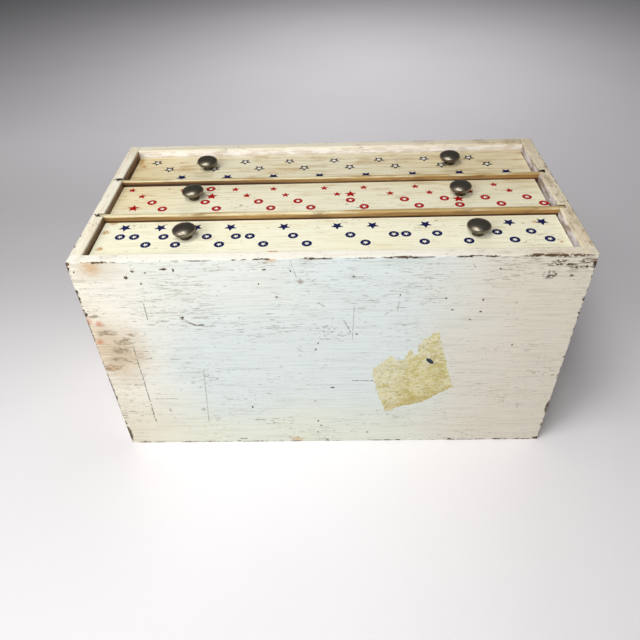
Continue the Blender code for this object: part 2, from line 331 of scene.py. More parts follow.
# Places where the fine dark dashes along the grain crowd together.
DASH_ZONES = (
    (-64, 200, 12, 5), (62, 199, 12, 7), (30, 170, 24, 8), (88, 168, 34, 8), (106, 168, 16, 9),
    (-118, 46, 20, 8), (-112, 78, 14, 10), (-60, 38, 16, 8), (20, 60, 20, 14), (112, 80, 26, 8),
    (128, 190, 30, 7), (176, 200, 22, 10), (-165, 150, 26, 8), (-130, 152, 18, 10), (-40, 148, 24, 10),
    (84, 44, 30, 10), (60, 30, 26, 8), (-30, 206, 60, 3), (120, 206, 60, 4),
)
FAINT_MARKS = (
    (-141, 148.5, 4.5, 1.1), (-130, 152.5, 5, 1.4), (-97.5, 86.5, 2.2, 1.8), (-48, 158, 6, 0.9),
    (-40, 149, 4.5, 0.8), (-37, 139.3, 6, 0.9), (34, 144, 2.2, 1), (5, 131.3, 2, 0.6), (33, 170, 5, 1),
    (-5, 131, 5, 0.8), (-115, 47, 3, 2.4), (-145, 46, 1.8, 3), (-120.5, 67.3, 1.2, 1.2),
    (-113.5, 76.5, 1.2, 1.6), (-66, 32, 7, 1.4), (100, 38.5, 2.4, 1), (116, 188, 5, 0.8),
    (-106, 178.8, 3, 0.6), (-102, 171, 4.5, 0.8), (-15, 56.5, 1.6, 1.5), (163, 47.5, 1.2, 4),
)
# Strokes run from one (X, Z) to another, with their half width last.
SCORED_LINES = (
    (-160.2, 127, -160.7, 92, 0.38), (-160.6, 90, -161.0, 58, 0.48), (-161.0, 56, -161.4, 40, 0.6),
    (-161.4, 38, -160.9, 29, 0.62), (18, 82.5, 38, 81.7, 0.55), (-116.5, 156, -112, 151, 0.6),
    (-112, 151, -106.5, 148, 0.8), (-106.5, 148, -100, 147.6, 1.1), (10, 150.5, 13.5, 143.5, 0.5),
    (13.5, 143.5, 15.8, 136.5, 0.4),
)
SCRATCHES = (
    (-107.3, 99, -113, 30, 0.35), (18.2, 166, 17, 130, 0.28), (52.3, 173, 51.3, 160, 0.35),
    (42, 156, 47, 160.3, 0.35), (103, 202, 105, 199, 0.35), (-28, 208, -24.5, 193, 0.3),
    (-142, 170, -142.2, 154, 0.5), (-142, 160.6, -113, 160.6, 0.35), (-9.5, 168.5, -4.5, 164.5, 0.5),
    (70, 170.8, 88, 171, 0.3), (103, 90.3, 134, 90.8, 0.25), (50.5, 162.5, 58, 162.4, 0.35),
    (-170, 40.5, -132, 40.7, 0.2), (-158, 62, -136, 61.8, 0.35), (-94, 60.5, -82, 59.8, 0.35),
    (112, 187.8, 138, 191, 0.25), (22, 37.5, 58, 37.8, 0.25), (-88, 97, -60, 98, 0.25),
)
TAN_STAINS = ((-173, 204, 9, 8.5), (-184, 101, 7.5, 4), (-42, 208.5, 6, 2.6), (-33, 4, 9, 3))
RUST_STAINS = ((-181.5, 150, 3.8, 3.8), (-190, 153, 4.5, 5), (-186, 131, 4, 4))


def make_bottom_face():
    """The case's bottom board, outside: cool brushed white with its scars and stains."""
    look = Look("bottom_face_paint")
    slow, streaks, broad, speck = paint_layer(look, "X")
    ragged = look.warp(2.2, 1.6)
    rough_line = look.warp(3.0, 0.9, shift=4)
    drift = slow * 0.1 + look.x
    left = drift.ease(-0.035, -0.165)
    right = drift.ease(0.09, 0.2)
    low = (slow * 0.06 + look.z).ease(0.115, 0.03)
    upper = look.z.ease(0.135, 0.185) * drift.ease(0.06, -0.02)
    # Slow changes of tone, then brush marks and hairlines.
    look.colour = look.mix(low * 0.8, COOL_WHITE, (224, 226, 207))
    look.cover(upper * 0.75, (228, 231, 223))
    look.cover(left, look.mix(low, (241, 235, 220), (227, 221, 202)))
    look.multiply_in(drift.ease(-0.135, -0.185) * 0.9, (248, 241, 229))
    look.cover(right, (222, 215, 200))
    look.multiply_in(streaks.ease(0.48, 0.74) * 0.22, GRIME)
    look.multiply_in(broad.ease(0.5, 0.78) * 0.22, (200, 204, 184))
    hair = look.noise(0.7, (50, 1, 1), detail=2, shift=47).ease(0.52, 0.66)
    look.multiply_in(hair * 0.16, GRIME)
    # Soft stains.
    tan_zone = look.nearest_spot(look.warp(18, 30), ((-178, 118, 40, 50),)).ease(1.0, 0.15)
    corner = look.nearest_spot(look.warp(14, 12, 9.0), ((-172, 202, 30, 16),)).ease(1.0, 0.15)
    look.multiply_in(look.most(tan_zone * 0.58, corner * 0.28), TAN)
    blurred = look.warp(5, 4, 2.0)
    look.cover(look.nearest_spot(blurred, TAN_STAINS).ease(1.15, 0.1) * 0.6, (204, 154, 92))
    look.cover(look.nearest_spot(blurred, RUST_STAINS).ease(1.15, 0.1) * 0.66, (198, 112, 66))
    # Marks and scratches in the paint.
    faint = look.nearest_spot(ragged, FAINT_MARKS).ease(1.15, 0.45)
    faint = faint * look.noise(1.6, (2.2, 1, 1), shift=11).ease(0.36, 0.62)
    scratch = look.nearest_stroke(rough_line, SCRATCHES).ease(1.5, 0.6)
    scratch = scratch * look.noise(2.4, shift=13).ease(0.36, 0.5)
    dash = look.noise(1.1, (7.5, 1, 0.6), detail=2, rough=0.6, shift=19)
    crowd = look.noise(34, (1.4, 1, 1), detail=2, shift=23)
    crowd = look.z.ease(0.11, 0.17) * 0.1 + crowd
    zone = look.nearest_spot(look.warp(9, 12, 12.0), DASH_ZONES).ease(1.1, 0.3)
    dash = (zone * 0.03 + (crowd * 0.36 + dash)).ease(0.868, 0.882)
    smear = look.nearest_spot(look.warp(4, 5, 6.0), SMEARS).ease(1.2, 0.5)
    smear = smear * look.noise(2.2, (2.2, 1, 1), detail=4, shift=37).ease(0.38, 0.54)
    look.cover(smear * 0.74, (138, 118, 88))
    look.cover(look.most(faint * 0.66, scratch * 0.66, speck * 0.62, dash * 0.56), (120, 110, 92))
    scored = look.nearest_stroke(rough_line, SCORED_LINES).ease(1.4, 0.6)
    scored = scored * look.noise(1.8, shift=15).ease(0.4, 0.5)
    look.cover(scored * 0.84, (92, 78, 56))
    # Chips down to the wood.
    chip = look.noise(0.9, shift=45) * 1.3 + look.nearest_spot(ragged, SMALL_CHIPS)
    chip = chip.ease(1.75, 1.45)
    cluster = look.nearest_spot(ragged, CHIP_CLUSTERS).ease(1.25, 0.5)
    cluster = cluster * look.noise(1.3, (1.8, 1, 1), shift=17).ease(0.45, 0.53)
    edge = worn_edges(look, CASE_LOW, CASE_HIGH, "X", 3.2 * MM)
    arris = look.noise(3.2, (4, 1, 1), detail=4, shift=29).ease(0.5, 0.6)
    arris = look.z.ease(DEPTH - 1.9 * MM, DEPTH - 0.9 * MM) * arris
    foot = look.noise(4, (4, 1, 1), detail=4, shift=31).ease(0.52, 0.62)
    foot = look.z.ease(1.9 * MM, 0.9 * MM) * foot
    side = look.noise(4, (1, 1, 4), detail=4, shift=39).ease(0.46, 0.56)
    side = look.x.ease(-HALF_WIDTH + 1.7 * MM, -HALF_WIDTH + 0.7 * MM) * side
    chip = look.most(chip, cluster, edge, look.most(arris, foot, side) * 0.75)
    look.cover(chip, look.mix(broad.ease(0.4, 0.6), DARK_WOOD, (104, 78, 52)))
    return case_finish(look, streaks, broad, edge, speck, 0.42)


def make_case_paint(name, axis, shift):
    """The rest of the case: warm cream paint, worn arrises, bare wood deep inside."""
    look = Look(name)
    slow, streaks, broad, speck = paint_layer(look, axis, shift)
    look.colour = look.mix(slow.ease(0.35, 0.65), WARM_CREAM, YELLOW_CREAM)
    near = look.y.ease(-HALF_HEIGHT + BOARD + 1 * MM, -HALF_HEIGHT + BOARD - 1 * MM)
    look.cover(near * 0.7, (253, 252, 243))
    far = look.y.ease(HALF_HEIGHT * 0.6, HALF_HEIGHT - 6 * MM)
    look.multiply_in(far * 0.7, (240, 237, 232))
    right = look.x.ease(0.05, HALF_WIDTH - 6 * MM)
    look.multiply_in(right * 0.58, (228, 213, 193))
    rubbed = 0.27 if axis == "Y" else 0.2
    look.multiply_in(streaks.ease(0.5, 0.74) * rubbed, (172, 150, 120))
    look.multiply_in(broad.ease(0.5, 0.7) * rubbed, (214, 192, 154))
    grime = look.noise(11, along(axis, 2.2), detail=5, rough=0.65, shift=shift + 1)
    handled = right * look.z.ease(DEPTH - 26 * MM, DEPTH - 4 * MM) * (near * -0.6 + 1.0)
    grime = (handled * 0.07 + grime).ease(0.54, 0.7)
    look.multiply_in(grime * (handled * 0.2 + 0.2), (166, 138, 104))
    smudge = look.noise(2.4, along(axis, 1.8), detail=4, rough=0.7, shift=shift + 33)
    smudge = (handled * 0.05 + (grime * 0.05 + smudge)).ease(0.6, 0.72)
    look.cover(smudge * (handled * 0.26 + 0.24), (134, 112, 84))
    look.cover(speck * 0.7, (104, 80, 54))
    edge = worn_edges(look, CASE_LOW, CASE_HIGH, axis, 2.0 * MM, shift)
    wood, _ = wood_colour(look, axis, (120, 90, 58), DARK_WOOD, shift)
    look.cover(edge, wood)
    # Smeared paint on the walls' inner faces, with painted shadow on the left wall's, painted shade in the
    # divider grooves, and raw wood deeper in.
    across = abs(look.x)
    inside = across.ease(INNER_X + 0.2 * MM, INNER_X) * abs(look.y).ease(INNER_Y + 0.2 * MM, INNER_Y)
    below = look.z.ease(DEPTH - 0.6 * MM, DEPTH - 2.5 * MM)
    mottle = look.noise(3.4, along(axis, 4), detail=4, shift=shift + 43).ease(0.42, 0.62)
    pale = look.mix(mottle, (226, 220, 224), (158, 140, 120))
    # Painted shadow on the left wall's inner face, dark brown there; the right wall keeps its pale paint.
    shade = look.mix(look.x.ease(-0.17, 0.17), look.mix(mottle, (148, 110, 76), (122, 88, 56)), pale)
    beside = across.ease(INNER_X - 0.6 * MM, INNER_X - 0.3 * MM)
    look.cover(inside * below * 0.85, look.mix(mottle, (248, 244, 240), (222, 212, 198)))
    look.cover(beside * inside * below * 0.92, shade)
    for divider in DIVIDERS:
        low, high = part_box(divider)
        gap = high.y + DADO_PLAY
        groove = look.y.ease(low.y - 0.5 * MM, low.y - 0.4 * MM) * look.y.ease(gap + 0.2 * MM, gap + 0.1 * MM)
        groove = groove * across.ease(INNER_X, INNER_X + 0.2 * MM)
        groove = groove * across.ease(high.x + 0.6 * MM, high.x + 0.5 * MM)
        # Painted shade: the divider grooves darkened nearly black.
        look.cover(groove * 0.9, (44, 32, 22))
    deep = (broad * (12 * MM) + look.z).ease(DEPTH - 12 * MM, DEPTH - 20 * MM)
    raw, _ = wood_colour(look, axis, GOLD_WOOD, DEEP_GOLD, shift + 20)
    look.cover(inside * deep, raw)
    return case_finish(look, streaks, broad, edge, speck, 0.45)


# Rust-brown foxing on the drawer fronts, seen as (X, Y) in millimetres with half sizes.
FOXING = (
    (-176.5, 76, 3, 7), (-172, 66, 3, 2.6), (-137, 72.5, 2.6, 1.4), (-133.5, 58.5, 1.6, 1.2),
    (-139, 21.5, 1.2, 1), (-175, 9.5, 1.4, 1.2), (-173, -33.5, 3.6, 3), (-175.5, -47, 3.4, 2.8),
    (-174, -70, 2.8, 2.6), (-160, -24, 1.8, 1.2), (159.5, -42.5, 2.4, 1.6), (150, -44, 1.4, 1),
    (84, -38, 1.4, 0.9), (-42, -77.5, 4, 1.6), (172, -71, 1.6, 1.2), (141, 9.5, 1.6, 0.9),
)
FRONT_SMUDGES = ((24.5, -15.6, 3.6, 0.9), (-96, 18.5, 2, 0.6), (61, 71, 3.5, 0.7), (133, 77, 2.6, 0.7))


def make_front_paint():
    """Drawer fronts: cream over pine whose grain shows through, foxed towards the ends, with painted shade
    that darkens the farther drawers and the right end.
    """
    look = Look("drawer_front_paint")
    slow, streaks, broad, speck = paint_layer(look, "X", 31.0)
    # Painted shade: the fronts darken from the nearest drawer to the farthest.
    painted_far_shade = look.y.ease(-HALF_HEIGHT * 0.6, HALF_HEIGHT * 0.85)
    look.colour = look.mix(painted_far_shade, (255, 253, 229), (240, 232, 204))
    # Painted shade towards the right end, stronger on the farther drawers.
    right = (slow * 0.08 + look.x).ease(0.05, 0.19)
    look.multiply_in(right * (painted_far_shade * 0.45 + 0.08), (248, 236, 214))
    left = (slow * 0.06 + look.x).ease(-0.06, -0.15) * look.y.ease(-25 * MM, -5 * MM)
    look.multiply_in(left * 0.85, (255, 244, 222))
    look.multiply_in(slow.ease(0.45, 0.7) * 0.35, (250, 242, 222))
    grain = look.noise(1.5, (26, 1, 1), detail=4, shift=5).ease(0.5, 0.66)
    look.multiply_in(grain * (painted_far_shade * 0.38 + 0.34), (220, 198, 156))
    look.multiply_in(streaks.ease(0.5, 0.76) * 0.2, GRIME)
    old = look.noise(9, (3.5, 1, 1), detail=4, rough=0.6, shift=14)
    old = (painted_far_shade * 0.08 + old).ease(0.58, 0.74)
    look.multiply_in(old * (painted_far_shade * 0.16 + 0.34), (206, 176, 128))
    fox = look.nearest_spot(look.warp(3, 2.2, 3.0), FOXING, "XY").ease(1.45, 0.3)
    fox = fox * look.noise(1.5, detail=4, shift=8).ease(0.3, 0.54)
    look.cover(fox * 0.88, (198, 142, 70))
    smudge = look.nearest_spot(look.warp(2, 1.2, 7.0), FRONT_SMUDGES, "XY").ease(1.2, 0.4)
    look.cover(smudge * 0.5, (110, 100, 90))
    look.cover(speck * 0.62, (122, 92, 58))
    raw, _ = wood_colour(look, "X", GOLD_WOOD, DEEP_GOLD, 41.0)
    behind = 0.0
    for drawer in DRAWERS:
        low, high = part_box(f"{drawer}_front")
        here = look.y.ease(low.y - 1 * MM, low.y - 0.9 * MM) * look.y.ease(high.y + 1 * MM, high.y + 0.9 * MM)
        back = (broad * (3 * MM) + look.z).ease(high.z - 0.5 * MM, high.z - 2.0 * MM)
        behind = look.most(here * back, behind)
        # Painted shade: a thin dark line along each front's far edge, beside the gap.
        lip = look.y.ease(high.y - 0.45 * MM, high.y - 0.1 * MM) * here
        look.multiply_in(lip * 0.75, (112, 78, 48))
    look.cover(behind, raw)
    height = streaks * 0.4 + grain * -0.5 - speck * 0.6
    return look.done(streaks * 0.2 + 0.42, look.bump(height, 0.15, 0.8), specular=0.4)


def make_divider():
    """Golden bare board whose worn front edge keeps some paint, with painted shade on the upper one's left
    and low down next to the drawers, and a painted shadow line along the top arris.
    """
    look = Look("divider_wood")
    look.colour, grain = wood_colour(look, "X", (182, 146, 88), (122, 88, 46), 51.0)
    lower, upper = (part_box(divider)[1] for divider in DIVIDERS)
    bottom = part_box(DIVIDERS[1])[0].y
    is_upper = look.y.ease(bottom - 1 * MM, bottom - 0.9 * MM)
    is_lower = 1.0 - is_upper
    drift = grain * 0.05 + look.x
    # Painted shadow on the upper divider, darkest towards the left.
    in_shadow = is_upper * drift.ease(0.03, -0.1)
    look.multiply_in(in_shadow * 0.6, (160, 112, 56))
    look.multiply_in(drift.ease(0.12, 0.2) * 0.5, (206, 170, 120))
    # Painted shade deeper down the divider, next to the drawer front below, starting higher where the upper
    # divider is shadowed.
    gap_shade = look.noise(5, (6, 1, 1), shift=21) * (1.2 * MM) + look.z
    gap_shade = (in_shadow * (-1.2 * MM) + gap_shade).ease(DEPTH - 4.0 * MM, DEPTH - 5.4 * MM)
    look.multiply_in(gap_shade * 0.9, (92, 52, 26))
    ragged = look.noise(3, (6, 1, 1), shift=3) * (1.4 * MM) + look.z
    painted = ragged.ease(lower.z - 1.5 * MM, lower.z - 0.4 * MM)
    worn = look.noise(8, (6, 1, 1), detail=4, shift=9)
    worn = (look.x * 0.45 + worn).ease(0.42, 0.6)
    look.cover(painted, look.mix(worn, (228, 216, 178), (188, 158, 104)))
    # Painted shadow line along each divider's top arris.
    top_face = look.most(look.y.ease(upper.y - 0.5 * MM, upper.y - 0.15 * MM),
                         is_lower * look.y.ease(lower.y - 0.5 * MM, lower.y - 0.15 * MM))
    look.multiply_in(top_face * 0.7, (150, 122, 84))
    dirt = look.noise(7, (3, 1, 1), detail=4, shift=6).ease(0.56, 0.7)
    look.cover(dirt * 0.5, (104, 74, 42))
    fleck = look.noise(1.2, (3, 1, 1), shift=16).ease(0.66, 0.74)
    look.cover(fleck * 0.7, (70, 46, 26))
    split = look.x.ease(0.16, 0.164) * top_face * is_lower
    look.cover(split * 0.9, (48, 34, 22))
    return look.done(grain.ease(1.5, 0.0), look.bump(grain, 0.15, 0.7))


def make_knob_metal():
    """Antiqued pewter: rubbed lighter on the crown, dark patina and painted shade under the head, tiny pits.
    """
    look = Look("knob_pewter")
    cloud = look.noise(4, detail=4)
    pits = look.noise(0.35, detail=2, shift=2)
    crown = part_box("middle_drawer_knob_left")[0].z + 5.6 * MM
    rubbed = (cloud * (1.6 * MM) + look.z).ease(crown - 1.2 * MM, crown + 2.2 * MM)
    # Dark patina and painted shade under the head, lighter on the rubbed crown.
    look.colour = look.mix(rubbed, (82, 74, 62), (142, 135, 121))
    look.multiply_in(cloud.ease(0.45, 0.65) * 0.4, (190, 180, 166))
    look.cover(pits.ease(0.62, 0.72) * 0.5, (44, 38, 32))
    return look.done(cloud * 0.16 + 0.28, look.bump(pits, 0.02, 0.5), metallic=1.0)


def make_screw_metal():
    """Dull zinc, greyer in patches."""
    look = Look("screw_zinc")
    cloud = look.noise(2)
    look.colour = look.mix(cloud.ease(0.4, 0.7), (176, 172, 160), (128, 118, 100))
    return look.done(cloud * 0.3 + 0.25, look.bump(cloud, 0.03, 0.5), metallic=1.0)


def make_ink(name, colour, worn):
    """A thin printed decal with a faintly rubbed surface."""
    look = Look(name)
    rub = look.noise(0.9)
    look.colour = look.mix(rub.ease(0.5, 0.72) * 0.45, colour, worn)
    return look.done(rub * 0.25 + 0.45, look.bump(rub, 0.01, 0.4), specular=0.2)


LABEL_DOTS = ((83, 65, 0.9, 0.7), (51, 59, 0.6, 0.6), (96, 84.5, 0.7, 0.7), (62, 84, 0.5, 0.5))


def make_label_paper():
    """Old glue and paper fibre: mustard, blotched, paler where the paper has lifted."""
    look = Look("label_paper")
    blot = look.noise(9, detail=4, rough=0.6)
    fibre = look.noise(1.1, (1, 1, 2.4), shift=3)
    look.colour = look.mix(blot.ease(0.38, 0.62), (214, 205, 154), (194, 180, 116))
    upper_left = (blot * 0.04 + (look.x * -0.42 + look.z)).ease(0.07, 0.105)
    left = (blot * 0.012 + look.x).ease(0.072, 0.058)
    pale = look.noise(1.8, (2.6, 1, 0.9), detail=5, rough=0.75, shift=6)
    pale = (left * 0.06 + (upper_left * 0.05 + pale)).ease(0.5, 0.6)
    look.cover(pale * 0.75, (224, 222, 200))
    lower = (blot * 0.012 + (look.x * -0.3 + look.z)).ease(0.052, 0.04)
    look.multiply_in(lower * 0.35, (222, 202, 148))
    look.multiply_in(fibre.ease(0.52, 0.72) * 0.42, (184, 162, 106))
    dots = look.nearest_spot(look.warp(2, 0.8, 5.0), LABEL_DOTS).ease(1.2, 0.6)
    look.cover(dots * 0.75, (112, 84, 44))
    height = fibre * 0.5 + pale * -0.6
    return look.done(0.8, look.bump(height, 0.12, 0.8), specular=0.25)


def make_floor():
    """Pale paper, with painted shade that darkens it at the back on the left."""
    look = Look("floor_paper")
    cloud = look.noise(350, detail=2)
    look.colour = look.mix(cloud.ease(0.3, 0.7), (239.8, 237.4, 240.4), (243.5, 241.1, 244.0))
    # Painted shade: the paper darkens at the back on the left.
    far_left_painted_shade = look.y.ease(-0.12, 0.22) * look.y.ease(0.6, 0.3) * look.x.ease(0.0, -0.32)
    look.multiply_in(far_left_painted_shade * 0.36, (148.9, 148.9, 148.9))
    grain = look.noise(1.2, detail=2)
    return look.done(0.75, look.bump(grain, 0.05, 0.2), specular=0.2)


# ---- Mesh helpers ----
ARRIS_ANGLE = math.radians(40)   # what turns more sharply than this is rounded


def put(name, data):
    """Add an object to the scene."""
    thing = bpy.data.objects.new(name, data)
    bpy.context.scene.collection.objects.link(thing)
    return thing


def add_piece(name, mesh, materials, body, replaced=()):
    piece = put(name, mesh)
    for material in materials:
        mesh.materials.append(material)
    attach(piece, body)
    if replaced:
        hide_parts(*replaced)
    return piece


def repaint(node, material):
    """Give a CAD node its finished material."""
    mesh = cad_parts[node].data
    mesh.materials.clear()
    mesh.materials.append(material)


def add_bevel(piece, width, segments, method):
    bevel = piece.modifiers.new("round", "BEVEL")
    bevel.width = width
    bevel.segments = segments
    bevel.limit_method = method
    bevel.harden_normals = True
    return bevel


def rounded(node, material, body, width, segments=2):
    """Stand in for a CAD board with the same board, its square arrises rounded a little."""
    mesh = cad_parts[node].data.copy()
    mesh.materials.clear()
    shape = bmesh.new()
    shape.from_mesh(mesh)
    bmesh.ops.remove_doubles(shape, verts=shape.verts, dist=1e-6)
    bmesh.ops.dissolve_limit(shape, angle_limit=math.radians(1.0), verts=shape.verts, edges=shape.edges)
    shape.to_mesh(mesh)
    shape.free()
    piece = add_piece(f"{node}_rounded", mesh, (material,), body, (node,))
    bevel = add_bevel(piece, width, segments, "ANGLE")
    bevel.angle_limit = ARRIS_ANGLE
    bevel.use_clamp_overlap = True


def prism(shape, outline, low, high, place):
    """Add a closed prism over a flat outline to a bmesh; place turns (u, v, w) to a point."""
    under, over = ([shape.verts.new(place(u, v, level)) for u, v in outline] for level in (low, high))
    shape.faces.new(over)
    shape.faces.new(under[::-1])
    for step in range(len(outline)):
        after = (step + 1) % len(outline)
        shape.faces.new((under[step], under[after], over[after], over[step]))


def finish_mesh(name, shape, angle=35):
    bmesh.ops.recalc_face_normals(shape, faces=shape.faces)
    mesh = bpy.data.meshes.new(name)
    shape.to_mesh(mesh)
    shape.free()
    mesh.shade_smooth()
    mesh.set_sharp_from_angle(angle=math.radians(angle))
    return mesh


# ---- Case boards ----
FINGER = DEPTH / FINGER_COUNT
SEAM = 0.03 * MM             # half the hairline left between painted-over fingers
SKIN = 0.12 * MM             # how far the visible boards stand inside the CAD box
UNEVEN = 0.18 * MM           # how far a finger's end may stand back
CHIPPED = 0.22               # the share of fingers with a broken corner
FINGER_ROUND = 0.28          # how round a finger's arrises are, next to the rim's


def wavy(start, end, step, depth):
    """Points along a worn straight edge, each pushed in by a little."""
    run = Vector(end) - Vector(start)
    inward = Vector((-run.y, run.x)).normalized()
    count = max(2, round(run.length / step))
    points = []
    for index in range(1, count):
        spot = Vector(start) + run * (index / count)
        dip = abs(noise.noise(Vector((spot.x * 60, spot.y * 60, 3.0)))) * depth
        points.append(tuple(spot + inward * dip))
    return points


def worn_comb(full_half, inner_half, owns_odd):
    """A finger-jointed board's outline as (across, up), with slightly uneven finger ends."""
    def one_end():
        edge = []
        for finger in range(FINGER_COUNT):
            owned = (finger % 2 == 0) == owns_odd
            reach = full_half - SKIN - RANDOM.uniform(0.0, UNEVEN) if owned else inner_half
            trim = SEAM if owned else -SEAM
            start = max(finger * FINGER + trim, 0.0)
            end = min((finger + 1) * FINGER - trim, DEPTH - SKIN)
            if owned and RANDOM.random() < CHIPPED:
                cut = RANDOM.uniform(0.5, 1.3) * MM
                edge += [(reach - cut * 0.6, start), (reach, start + cut), (reach, end)]
            else:
                edge += [(reach, start), (reach, end)]
        return edge
    right = one_end()
    left = [(-across, up) for across, up in reversed(one_end())]
    top = wavy(right[-1], left[0], 4 * MM, 0.28 * MM)
    bottom = wavy(left[-1], right[0], 6 * MM, 0.2 * MM)
    return right + top + left + bottom


def mark_arrises(mesh):
    """Rim arrises are rounded most, finger edges hardly at all."""
    shape = bmesh.new()
    shape.from_mesh(mesh)
    layer = shape.edges.layers.float.new("bevel_weight_edge")
    for edge in shape.edges:
        if len(edge.link_faces) == 2 and edge.calc_face_angle(0.0) > ARRIS_ANGLE:
            on_rim = all(vert.co.z > DEPTH - 1.2 * MM for vert in edge.verts)
            long_edge = edge.calc_length() > 2 * MM
            edge[layer] = 1.0 if on_rim and long_edge else FINGER_ROUND
    shape.to_mesh(mesh)
    shape.free()


def round_board(piece):
    mark_arrises(piece.data)
    bevel = add_bevel(piece, 0.9 * MM, 3, "WEIGHT")
    bevel.use_clamp_overlap = False


def carve(piece, boxes):
    """Cut square grooves out of a piece and keep the plain result."""
    cutters = []
    for low, high in boxes:
        mesh = bpy.data.meshes.new("groove")
        shape = bmesh.new()
        bmesh.ops.create_cube(shape, size=1.0)
        bmesh.ops.scale(shape, vec=high - low, verts=shape.verts)
        bmesh.ops.translate(shape, vec=(low + high) / 2, verts=shape.verts)
        shape.to_mesh(mesh)
        shape.free()
        cutters.append(put("groove", mesh))
        boolean = piece.modifiers.new("groove", "BOOLEAN")
        boolean.object = cutters[-1]
    bpy.context.view_layer.update()
    graph = bpy.context.evaluated_depsgraph_get()
    carved = bpy.data.meshes.new_from_object(piece.evaluated_get(graph))
    piece.modifiers.clear()
    piece.data = carved
    for cutter in cutters:
        bpy.data.objects.remove(cutter)


def dado_boxes(side):
    """The grooves that hold the dividers, on the side of the case that the sign gives."""
    mouth = side * (INNER_X - 2 * MM)
    for divider in DIVIDERS:
        low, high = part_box(divider)
        floor = side * (high.x + 0.3 * MM)
        yield (Vector((min(mouth, floor), low.y - 0.3 * MM, -2 * MM)),
               Vector((max(mouth, floor), high.y + DADO_PLAY, DEPTH + 2 * MM)))


def add_case(paint_x, paint_y, bottom_face):
    boards = (
        ("bottom_board", "X", lambda u, v, w: (u, -HALF_HEIGHT + w, v)),
        ("top_board", "X", lambda u, v, w: (u, HALF_HEIGHT - w, v)),
        ("left_board", "Y", lambda u, v, w: (-HALF_WIDTH + w, u, v)),
        ("right_board", "Y", lambda u, v, w: (HALF_WIDTH - w, u, v)),
    )
    sizes = {"X": (HALF_WIDTH, INNER_X, paint_x), "Y": (HALF_HEIGHT, INNER_Y, paint_y)}
    for name, axis, place in boards:
        full, inner, paint = sizes[axis]
        shape = bmesh.new()
        prism(shape, worn_comb(full, inner, axis == "Y"), SKIN, BOARD, place)
        mesh = finish_mesh(name, shape)
        piece = add_piece(name, mesh, (paint, bottom_face), "case", (f"case_{name}",))
        if axis == "Y":
            carve(piece, dado_boxes(-1 if name == "left_board" else 1))
        for face in piece.data.polygons:
            is_bottom = face.normal.y < -0.7 and face.center.y < -HALF_HEIGHT + 1 * MM
            face.material_index = int(is_bottom)
        round_board(piece)


# ---- Knobs ----
KNOB_STEPS = 72
PROFILE_STEPS = 18


def knob_profile(radius, height):
    """Small foot, waisted neck, bellied underside and low domed top, from the frame's sizes."""
    foot = radius * 0.51
    rim_height = height * 0.63
    profile = [(0.0, 0.0), (foot * 0.94, 0.0), (foot, height * 0.02), (foot, height * 0.08)]
    neck = Vector((radius * 0.457, height * 0.22))
    rim = Vector((radius, rim_height))
    flare = Vector((radius * 0.28, height * 0.055))
    upright = Vector((0.0, height * 0.18))
    belly = interpolate_bezier(neck, neck + flare, rim - upright, rim, PROFILE_STEPS)
    profile += [tuple(point) for point in belly]
    for step in range(1, PROFILE_STEPS):
        turn = math.pi / 2 * step / PROFILE_STEPS
        profile.append((radius * math.cos(turn), rim_height + (height - rim_height) * math.sin(turn)))
    profile.append((0.0, height))
    return profile


# How far each knob has worked loose, as degrees about X and then about Y.
KNOB_LEAN = {
    "top_drawer_knob_left": (0.0, 3.0),
    "top_drawer_knob_right": (0.0, 0.0),
    "middle_drawer_knob_left": (-2.0, -3.0),
    "middle_drawer_knob_right": (-1.0, -2.5),
    "bottom_drawer_knob_left": (-2.0, -3.5),
    "bottom_drawer_knob_right": (-1.0, 1.0),
}


def add_knobs(metal):
    for node, (nod, tip) in KNOB_LEAN.items():
        low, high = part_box(node)
        radius = (high.x - low.x) / 2
        height = high.z - low.z - 0.15 * MM
        shape = bmesh.new()
        profile = knob_profile(radius - 0.1 * MM, height)
        points = [shape.verts.new((across, 0.0, up)) for across, up in profile]
        edges = [shape.edges.new(pair) for pair in zip(points, points[1:])]
        bmesh.ops.spin(shape, geom=points + edges, cent=(0, 0, 0), axis=(0, 0, 1),
                       angle=math.tau, steps=KNOB_STEPS, use_merge=True)
        bmesh.ops.remove_doubles(shape, verts=shape.verts, dist=1e-7)
        lean = Euler((math.radians(nod), math.radians(tip), 0.0)).to_matrix().to_4x4()
        base = Vector(((low.x + high.x) / 2, (low.y + high.y) / 2, low.z))
        for vert in shape.verts:
            # The foot stays flat on the front, and the lean grows up the neck.
            share = min(1.0, vert.co.z / (height * 0.3))
            vert.co = base + vert.co.lerp(lean @ vert.co, share)
        name = node.replace("_knob", "_pewter_knob")
        add_piece(name, finish_mesh(name, shape, 60), (metal,), node.split("_knob")[0], (node,))


# ---- Decals ----
DECAL_STEPS = 28
BACKING = 0.03 * MM
INK = 0.05 * MM
RING = 3.95 * MM
RING_GROUND = 3.7 * MM
# Each star's radius in millimetres, and the share of it that the inner corners reach.
STARS = {"solid": (5.2, 0.48), "large": (5.3, 0.46), "small": (3.8, 0.46), "outline": (5.5, 0.50),
         "hollow": (2.7, 0.46), "ring": (2.35, 0.42)}


def spoke(reach, turn):
    return reach * math.cos(turn), reach * math.sin(turn)


def star_outline(kind, points_up):
    """A five-pointed star, standing on its two legs or on one point."""
    radius, inner_share = STARS[kind]
    start = math.pi / 2 if points_up else -math.pi / 2
    return [spoke(radius * MM * (inner_share if step % 2 else 1.0), start + math.tau * step / 10)
            for step in range(10)]


def circle_outline(radius):
    return [spoke(radius, math.tau * step / DECAL_STEPS) for step in range(DECAL_STEPS)]


